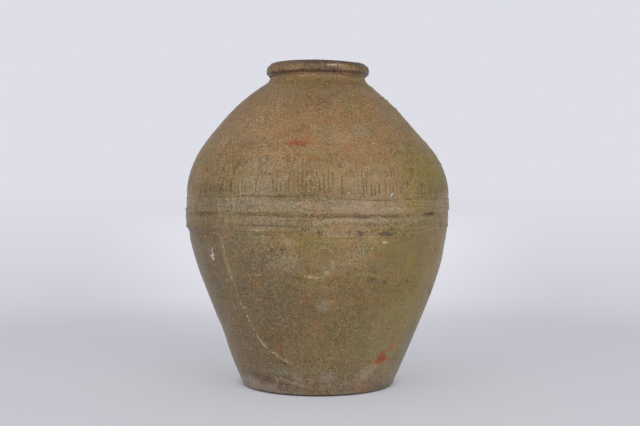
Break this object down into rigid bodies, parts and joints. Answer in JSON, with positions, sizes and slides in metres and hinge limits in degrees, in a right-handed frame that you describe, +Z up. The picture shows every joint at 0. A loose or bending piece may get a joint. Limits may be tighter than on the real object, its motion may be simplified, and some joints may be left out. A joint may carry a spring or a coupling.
{
  "type": "wine jar",
  "caption": "Squat-necked stoneware wine jar with a rolled rim, sloping shoulder, a clay girdle round the belly and a flat foot, glazed olive brown outside and open at the mouth.",
  "frame": {"origin": "centre of the foot's flat underside, on the floor", "axes": "+Z up along the jar's axis to the mouth, -Y towards the picture's camera, +X to the right of the picture"},
  "size_m": [0.2801, 0.28, 0.3409],
  "materials": {
    "bare_clay": "matte",
    "inner_clay": "matte",
    "lower_glaze": "satin",
    "girdle_glaze": "satin",
    "shoulder_glaze": "satin",
    "rim_glaze": "satin"
  },
  "bodies": {
    "root": {"base_disc": "bare_clay", "base_corner_coil": "inner_clay", "lower_wall": "lower_glaze", "belly_seam_coil": "inner_clay", "girdle_upper_strip": "girdle_glaze", "girdle_lower_strip": "girdle_glaze", "shoulder_wall": "shoulder_glaze", "neck_collar": "shoulder_glaze", "rim_roll": "rim_glaze"}
  },
  "joints": []
}
